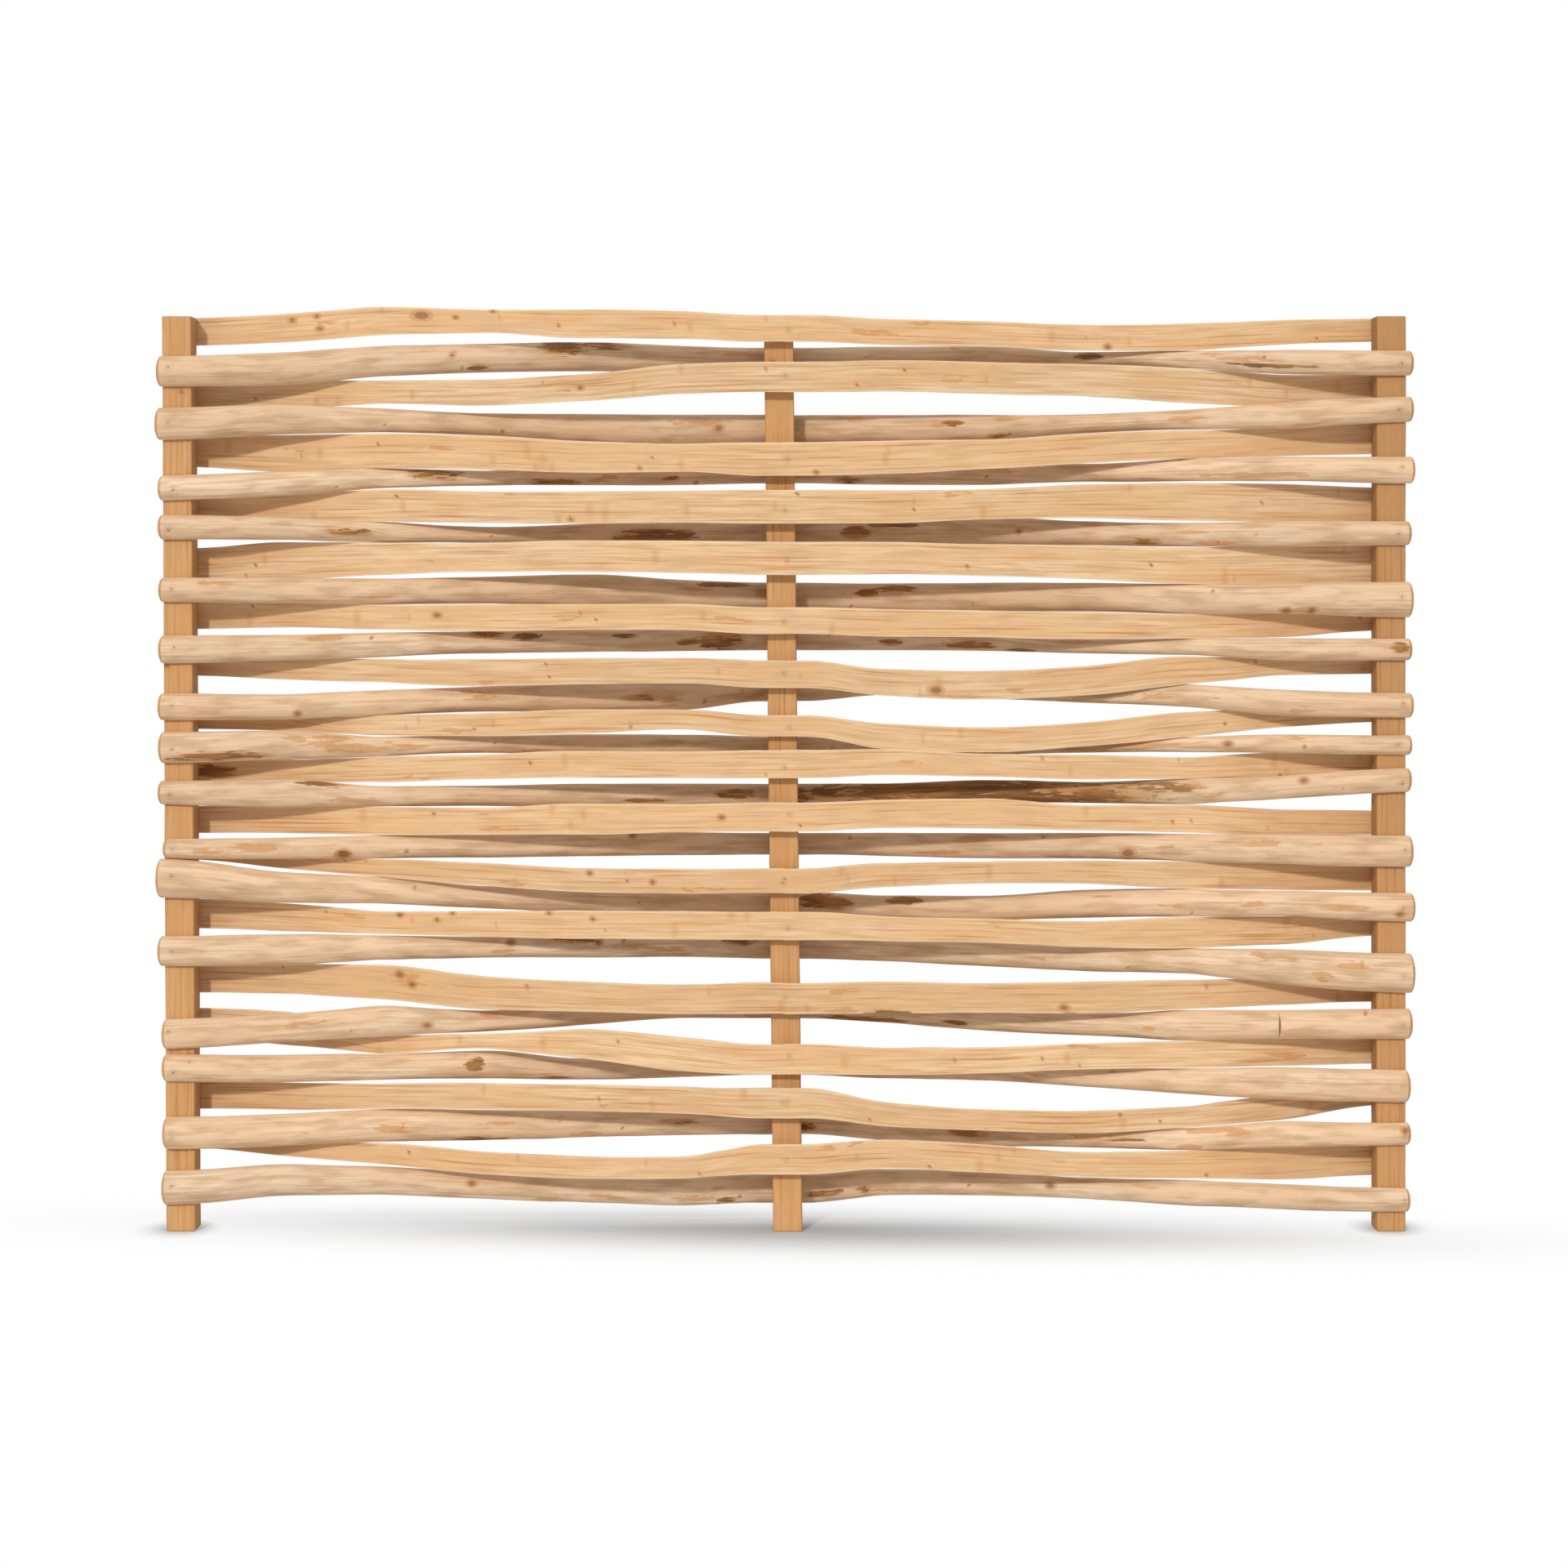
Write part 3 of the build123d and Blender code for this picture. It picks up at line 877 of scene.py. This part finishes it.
    def place_marks(self, skin: Skin, raised: Array, rng: np.random.Generator) -> dict:
        """Places every mark, and raises or sinks the wood there.

        Args:
            skin: Where each vertex lies.
            raised: How far each vertex is raised, changed here.
            rng: The rail's own source of chance.

        Returns:
            For each kind of mark, 0 outside the marks and 1 in their middle.
        """
        fields = {kind: np.zeros_like(skin.x) for kind in Kind}
        for mark, side in [(m, self.shown) for m in self.marks] + self.random_marks(rng):
            centre = skin.x[np.argmin(np.abs(skin.x - mark.x * MM))]
            across = (skin.height - mark.up * skin.half) / (mark.width * MM / 2)
            away = np.hypot((skin.x - centre) / (mark.length * MM / 2), across)
            on_side = skin.on(side)
            reach = 1.75 if mark.kind is KNOT else 1.5
            soft = np.clip(reach - away, 0, 1.5) / 1.5 * on_side
            fields[mark.kind] = np.maximum(fields[mark.kind], soft)
            if mark.kind is KNOT:
                boss = self.back_boss if side is Side.BACK else self.cleft_boss
                dish = 0.7 * np.exp(-((away / 0.6) ** 2))
                raised += on_side * boss * (np.exp(-((away / 1.8) ** 2)) - dish)
            elif mark.kind is BARK:
                raised += on_side * self.bark_height * np.clip(2.2 * (1.1 - away), 0, 1)
            elif mark.kind in (SCAR, SPLIT):
                raised -= on_side * self.scar_depth * np.clip(1.3 - away, 0, 1)
        return fields

    def shape(self, piece: Piece, skin: Skin, raised: Array) -> None:
        """Moves the vertices to where they belong, none of them outside the solid's box.

        Args:
            piece: The rail.
            skin: Where each vertex lies.
            raised: How far each is raised off the true half-round.
        """
        spread = np.hypot(skin.out, skin.up)
        spread = np.where(spread > 1e-6, spread, 1)
        is_back = skin.on(Side.BACK)
        outward = -1 if self.faces_front else 1
        bulge = skin.depth + np.where(is_back > 0, raised * skin.out / spread, 0)
        y = skin.flat + outward * (bulge - skin.on(Side.CLEFT) * raised)
        z = skin.middle + skin.height + is_back * raised * skin.up / spread
        low_corner, high_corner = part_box(self.node)
        move_points(piece, np.clip(np.stack([skin.x, y, z], 1), low_corner, high_corner))

    def keep_looks(self, piece, skin: Skin, fields: dict, rng: np.random.Generator) -> None:
        """Keeps the numbers that the materials read.

        Args:
            piece: The rail.
            skin: Where each vertex lies.
            fields: The soft field of each kind of mark.
            rng: The rail's own source of chance.
        """
        x = skin.x
        store(piece, "grain", np.stack([x + 3.7 * self.seed, skin.height, skin.depth], 1))
        bark = np.maximum(fields[BARK], fields[SCAR])
        store(piece, "marks", np.stack([bark, fields[FLECK], fields[KNOT]], 1))
        tone = np.full_like(x, rng.uniform(-0.06, 0.03))
        redness = np.full_like(x, rng.uniform(0.0, 0.5))
        stain = np.zeros_like(x)
        for nail_x, nail_up, side in self.nails:
            on_side = skin.on(side)
            away = np.hypot(x - nail_x, skin.height - nail_up * skin.half) / self.stain_radius
            stain = np.maximum(stain, np.exp(-away**2) * on_side)
            # painted shade on the shown face, where the rail passes behind a post
            if side is not self.shown:
                tone -= self.post_shade * np.exp(-(((x - nail_x) / self.post_shade_reach) ** 2)) * (1 - on_side)
        store(piece, "figure", np.stack([skin.up, tone, stain], 1))
        store(piece, "tint", np.stack([redness, fields[TRACE], fields[SPLIT]], 1))

    def build(self, blank: Piece) -> None:
        """Shapes the rail from the blank and gives it its marks."""
        piece = blank.copy()
        piece.data = blank.data.copy()
        piece.name = f"cleft_{self.node}"
        bpy.context.scene.collection.objects.link(piece)
        rng, noise = np.random.default_rng(self.seed), Noise(self.seed)
        skin = self.lay_out(points_of(piece), noise)
        raised = self.relief(skin, noise)
        fields = self.place_marks(skin, raised, rng)
        self.shape(piece, skin, raised)
        self.keep_looks(piece, skin, fields, rng)
        smooth(piece, 42)
        place_on_frame(piece, "rail_wood", self.node)
        self.piece = piece
        LOG.info("%s: %d faces", piece.name, len(piece.data.polygons))


@dataclass
class Post:
    """One sawn post."""

    node: str
    tone: float
    long_cuts: tuple[int, int] = (11, 11)
    cross_cuts: int = 5
    arris: float = 2.0 * MM
    sawn_relief: float = 0.35 * MM
    sawn_floor: float = 1.4
    sawn_layers: tuple[Layer, ...] = (Layer(0.09, 2, 10), Layer(0.022, 1.5, 30, 0.6))
    knot_count: int = 9
    knot_radius: float = 7 * MM
    side_shade: float = 0.14  # painted shade: how much darker its two sides are than its front

    def square_bar(self, side: float, tall: float) -> Piece:
        """Models an upright square bar on the origin, cut up, with its edges rounded over."""
        choose(None)
        bpy.ops.mesh.primitive_cube_add(size=1, location=(0, 0, tall / 2), scale=(side, side, tall))
        piece = bpy.context.object
        piece.name = f"sawn_{self.node}"
        bpy.ops.object.transform_apply()
        bpy.ops.object.mode_set(mode="EDIT")
        cut_edges(piece, lambda way, middle: abs(way.z) < 1e-6, self.cross_cuts)
        for cuts in self.long_cuts:
            cut_edges(piece, lambda way, middle: abs(way.z) > 1e-6, cuts)
        bpy.ops.object.mode_set(mode="OBJECT")
        choose(piece)
        bevel = piece.modifiers.new("rounding", "BEVEL")
        bevel.width = self.arris
        bevel.segments = 3
        bevel.limit_method = "ANGLE"
        bevel.angle_limit = math.radians(50)
        bpy.ops.object.modifier_apply(modifier=bevel.name)
        return piece

    def build(self, finishes: Finishes) -> None:
        """Models the post: a square bar, leaned as the solid is, with sawn faces."""
        solid = points_of(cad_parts[self.node])
        tall = solid[:, 2].max()
        foot, top = solid[solid[:, 2] < MM], solid[solid[:, 2] > tall - MM]
        foot_x, top_x = ((end[:, 0].min() + end[:, 0].max()) / 2 for end in (foot, top))
        side = foot[:, 1].max() - foot[:, 1].min()
        piece = self.square_bar(side, tall)
        bar = points_of(piece)
        x, y, z = bar.T
        sawn = Noise(len(self.node) * 31).layered(self.sawn_layers, z, np.arctan2(y, x))
        shrink = 1 + (sawn - self.sawn_floor) * self.sawn_relief / (side / 2)
        lean = foot_x + (top_x - foot_x) * z / tall
        move_points(piece, np.stack([x * shrink + lean, y * shrink, z], 1))
        store(piece, "grain", np.stack([z + 11 * foot_x + 40, x + 0.055, y + 0.02], 1))
        none = np.zeros_like(z)
        store(piece, "marks", np.stack([none, none, self.knots(bar, side, tall)], 1))
        # the post's tone, from 35 % of it at the foot to all of it at the top, less painted shade on its
        # two sides
        tone_and_side_shade = self.tone * (0.35 + 0.65 * z / tall) - self.side_shade * (np.abs(x) > 0.46 * side)
        store(piece, "figure", np.stack([none, tone_and_side_shade, none], 1))
        store(piece, "tint", np.stack([none - 3 * self.tone, none, none], 1))
        piece.data.materials.append(finishes.post)
        piece.data.materials.append(finishes.end)
        for face in piece.data.polygons:
            face.material_index = 1 if abs(face.normal.z) > 0.9 else 0
        smooth(piece, 30)
        place_on_frame(piece, "post_wood", self.node)
        LOG.info("%s: %d faces", piece.name, len(piece.data.polygons))

    def knots(self, bar: Array, side: float, tall: float) -> Array:
        """1 in the middle of each of the post's knots, fading to 0 round it."""
        rng = np.random.default_rng(len(self.node))
        knots = np.zeros(len(bar))
        for level in rng.uniform(0.05, tall, self.knot_count):
            centre = [rng.uniform(-0.4, 0.4) * side, rng.choice([-0.5, 0.5]) * side, level]
            away = np.linalg.norm(bar - np.array(centre), axis=1) / self.knot_radius
            knots = np.maximum(knots, np.clip(1.5 - away, 0, 1.5) / 1.5)
        return knots


@dataclass
class Nails:
    """The wire nails that hold the rails to one post."""

    post: str
    head_radius: float = 1.7 * MM
    head_thickness: float = 0.9 * MM
    shank_radius: float = 1.1 * MM
    shank_length: float = 9 * MM
    sink: float = 0.72 * MM
    crown_share: float = 0.35
    crown_rise: float = 0.25 * MM
    post_reach: float = 0.1  # a nail this near along X belongs to this post

    def model(self, finishes: Finishes) -> Piece:
        """Models one nail, its head at the origin facing -Y.

        Args:
            finishes: The materials.

        Returns:
            The nail.
        """
        choose(None)
        bpy.ops.mesh.primitive_cylinder_add(
            vertices=12, radius=self.head_radius, depth=self.head_thickness,
            location=(0, 0, 0), rotation=(math.pi / 2, 0, 0),
        )
        nail = bpy.context.object
        bpy.ops.object.transform_apply()
        bpy.ops.object.mode_set(mode="EDIT")
        select_faces(nail, (0, 1, 0))
        bpy.ops.mesh.inset(thickness=self.head_radius - self.shank_radius)
        bpy.ops.mesh.extrude_region_move(TRANSFORM_OT_translate={"value": (0, self.shank_length, 0)})
        select_faces(nail, (0, -1, 0))
        bpy.ops.mesh.inset(thickness=self.head_radius * self.crown_share)
        bpy.ops.transform.translate(value=(0, -self.crown_rise, 0))
        bpy.ops.object.mode_set(mode="OBJECT")
        nail.data.materials.append(finishes.nail)
        smooth(nail, 35)
        return nail

    def build(self, model: Piece, rails: list[Rail], post_x: float) -> None:
        """Copies the nail to each rail that crosses the post, and joins the copies.

        Args:
            model: The nail.
            rails: Every rail.
            post_x: Where along X the post stands.
        """
        copies = []
        for rail in rails:
            for nail_x, nail_up, side in rail.nails:
                if abs(nail_x - post_x) > self.post_reach:
                    continue
                from_front = (side is Side.BACK) == rail.faces_front
                way = 1 if from_front else -1
                low, high = self.edges_at(rail, nail_x)
                height = (low + high) / 2 + nail_up * (high - low) / 2
                start = Vector((nail_x, -way, height))
                hit, place, _, _ = rail.piece.ray_cast(start, Vector((0, way, 0)))
                if not hit:
                    LOG.warning("no wood under the nail of %s at %.3f", rail.node, nail_x)
                    continue
                copy = model.copy()
                copy.data = model.data.copy()
                shift = [place.x, place.y + way * self.sink, place.z]
                move_points(copy, points_of(model) * np.array([way, way, 1]) + np.array(shift))
                bpy.context.scene.collection.objects.link(copy)
                copies.append(copy)
        bpy.ops.object.select_all(action="DESELECT")
        for copy in copies:
            copy.select_set(True)
        bpy.context.view_layer.objects.active = copies[0]
        bpy.ops.object.join()
        piece = bpy.context.object
        piece.name = f"{self.post}_nails"
        place_on_frame(piece, "post_wood")
        LOG.info("%s: %d nails", piece.name, len(copies))

    @staticmethod
    def edges_at(rail: Rail, x: float) -> tuple[float, float]:
        """The heights of a rail's two edges at x."""
        places = points_of(rail.piece)
        near = places[np.abs(places[:, 0] - x) < 6 * MM, 2]
        return float(near.min()), float(near.max())


@dataclass(frozen=True)
class Lamp:
    """A distant lamp.

    turn is how many degrees to the left of straight ahead it stands, height how many above the
    floor, and softness how many it looks wide.
    """

    energy: float
    turn: float
    height: float
    softness: float

    def hang(self, name: str) -> None:
        """Hangs the lamp under a name."""
        sun = bpy.data.lights.new(name, "SUN")
        sun.energy = self.energy
        sun.angle = math.radians(self.softness)
        lamp = bpy.data.objects.new(name, sun)
        left, up = math.radians(self.turn), math.radians(self.height)
        ahead = math.cos(left) * math.cos(up)
        toward = Vector((-math.sin(left) * math.cos(up), -ahead, math.sin(up)))
        lamp.rotation_euler = toward.to_track_quat("Z", "Y").to_euler()
        bpy.context.scene.collection.objects.link(lamp)


@dataclass
class Studio:
    """The floor, the light and the camera.

    The camera stands level, square to the front, and sees a width of view_width at the plane
    of the front rails.
    """

    distance: float = 4.30
    front_plane: float = -0.030
    eye_height: float = 1.000
    view_width: float = 2.252
    view_middle: float = 0.645
    sensor: float = 36.0
    fill: float = 0.285
    key: Lamp = Lamp(1.63, 21, 28, 4)
    front: Lamp = Lamp(0.8, -8, 55, 80)
    back: Lamp = Lamp(0.5, 200, 55, 60)
    shadow_width: float = 0.67
    shadow_depth: float = 0.108
    shadow_middle: tuple[float, float] = (0.045, -0.022)
    shadow_slant: float = -0.06
    feet: tuple[float, ...] = ()
    foot_shadow: float = 0.045
    # the darker grey that the camera sees in the shadow, painted shade on top of the real one
    shadow_colour: tuple = (0.58, 0.605, 0.63, 1)
    bounce_colour: tuple = (0.78, 0.79, 0.8, 1)  # of the floor's light on the wood

    def build_camera(self) -> None:
        """Stands the camera where the photographer stood."""
        data = bpy.data.cameras.new("camera")
        data.sensor_width = self.sensor
        data.lens = self.sensor * self.distance / self.view_width
        data.shift_y = (self.view_middle - self.eye_height) / self.view_width
        camera = bpy.data.objects.new("camera", data)
        camera.location = (0, self.front_plane - self.distance, self.eye_height)
        camera.rotation_euler = (math.pi / 2, 0, 0)
        bpy.context.scene.collection.objects.link(camera)
        bpy.context.scene.camera = camera

    def build_light(self) -> None:
        """Lights the screen from the upper left, softly from front and back, and evenly all round."""
        self.key.hang("key")
        self.front.hang("front")
        self.back.hang("back")
        world = bpy.data.worlds.new("surround")
        world.use_nodes = True
        world.node_tree.nodes.clear()
        bpy.context.scene.world = world
        g = Graph(world.node_tree)
        even = g.add("ShaderNodeBackground", {"Color": (1, 1, 1, 1), "Strength": self.fill})
        white = g.add("ShaderNodeBackground", {"Color": (1, 1, 1, 1), "Strength": 1.0})
        seen = self.seen_directly(g)
        mixed = g.add("ShaderNodeMixShader", {0: seen, 1: even.outputs[0], 2: white.outputs[0]})
        g.add("ShaderNodeOutputWorld", {"Surface": mixed.outputs[0]})

    @staticmethod
    def seen_directly(g: Graph) -> Socket:
        """1 for what the camera, a reflection or glass shows, 0 for light that falls on things."""
        path = g.add("ShaderNodeLightPath").outputs
        seen = g.math("MAXIMUM", path["Is Camera Ray"], path["Is Glossy Ray"])
        return g.math("MAXIMUM", seen, path["Is Transmission Ray"])

    @staticmethod
    def fading(g: Graph, aside, width: float, deep, depth: float) -> Socket:
        """1 in the middle of a shadow, fading to 0 past its width and depth."""
        aside, deep = g.math("DIVIDE", aside, width), g.math("DIVIDE", deep, depth)
        away = g.plus(g.times(deep, deep), g.times(aside, aside))
        return g.math("EXPONENT", g.times(away, -1.0))

    def build_floor(self) -> None:
        """Lays a white floor with a soft shadow round the feet, partly painted: inside an ellipse and round
        each foot the camera sees the lit floor, with its real shadows, in a darker grey than it bounces,
        and plain white elsewhere.
        """
        choose(None)
        bpy.ops.mesh.primitive_plane_add(size=60, location=(0, 0, -0.2 * MM))
        floor = bpy.context.object
        floor.name = "floor"
        bpy.ops.object.transform_apply()
        material, g = new_material("white_floor")
        place = g.add("ShaderNodeTexCoord").outputs["Object"]
        parts = g.add("ShaderNodeSeparateXYZ", {0: place}).outputs
        beside = g.minus(parts[0], self.shadow_middle[0])
        line = g.math("MULTIPLY_ADD", beside, self.shadow_slant, self.shadow_middle[1])
        deep = g.minus(parts[1], line)
        shadowed = self.fading(g, beside, self.shadow_width, deep, self.shadow_depth)
        for post_x in self.feet:
            aside = g.minus(parts[0], post_x)
            foot = self.fading(g, aside, self.foot_shadow, parts[1], self.foot_shadow)
            shadowed = g.math("MAXIMUM", shadowed, foot)
        bare = g.times(g.minus(1.0, shadowed), self.seen_directly(g))
        # painted shade: the camera sees the floor in the darker shadow colour, while light bounces off it
        # in the paler one
        pale = g.mix(self.seen_directly(g), self.bounce_colour, self.shadow_colour)
        lit = g.add("ShaderNodeBsdfDiffuse", {"Color": pale})
        white = g.add("ShaderNodeEmission", {"Color": (1, 1, 1, 1), "Strength": 1.0})
        mixed = g.add("ShaderNodeMixShader", {0: bare, 1: lit.outputs[0], 2: white.outputs[0]})
        g.add("ShaderNodeOutputMaterial", {"Surface": mixed.outputs[0]})
        floor.data.materials.append(material)


@dataclass
class Screen:
    """The whole screen: posts, rails and nails."""

    nail_spread: float = 5 * MM
    post_places: dict[str, float] = field(default_factory=dict)

    POST_TONES = {"left_post": -0.02, "centre_post": 0.0, "right_post": -0.23}
    NAIL_SHIFTS = {"left_post": -7 * MM, "centre_post": 4 * MM, "right_post": 12 * MM}

    def nail_places(self, rail: Rail) -> list:
        """Where a rail is nailed: once at each post, through the side away from the post.

        Args:
            rail: The rail.

        Returns:
            Place along X, place across the rail and side that each nail enters.
        """
        rng = np.random.default_rng(1000 + rail.seed)
        places = []
        for post, post_x in self.post_places.items():
            side = Side.CLEFT if post == "centre_post" else Side.BACK
            across = rng.uniform(-0.25, 0.25)
            place = post_x + self.NAIL_SHIFTS[post] + rng.uniform(-1, 1) * self.nail_spread
            places.append((place, across, side))
        return places

    def build(self, finishes: Finishes) -> None:
        """Builds every piece."""
        for node, tone in self.POST_TONES.items():
            low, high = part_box(node)
            self.post_places[node] = (low.x + high.x) / 2
            Post(node, tone).build(finishes)
        blank = RailBlank().build(finishes)
        rails = [
            Rail(number, faces_front, tuple(Mark(*row) for row in rows))
            for faces_front, table in ((True, FRONT_MARKS), (False, REAR_MARKS))
            for number, rows in enumerate(table, 1)
        ]
        for rail in rails:
            rail.nails = self.nail_places(rail)
            rail.build(blank)
        bpy.data.objects.remove(blank)
        bpy.context.view_layer.update()
        for node, post_x in self.post_places.items():
            nails = Nails(node)
            model = nails.model(finishes)
            nails.build(model, rails, post_x)
            bpy.data.objects.remove(model)


def main() -> None:
    """Builds the screen and its studio."""
    logging.basicConfig(level=logging.INFO, format="%(name)s: %(message)s")
    bpy.context.scene.view_settings.view_transform = "Standard"
    screen = Screen()
    screen.build(Finishes())
    studio = Studio(feet=tuple(screen.post_places.values()))
    studio.build_floor()
    studio.build_light()
    studio.build_camera()


if __name__ == "__main__":
    main()
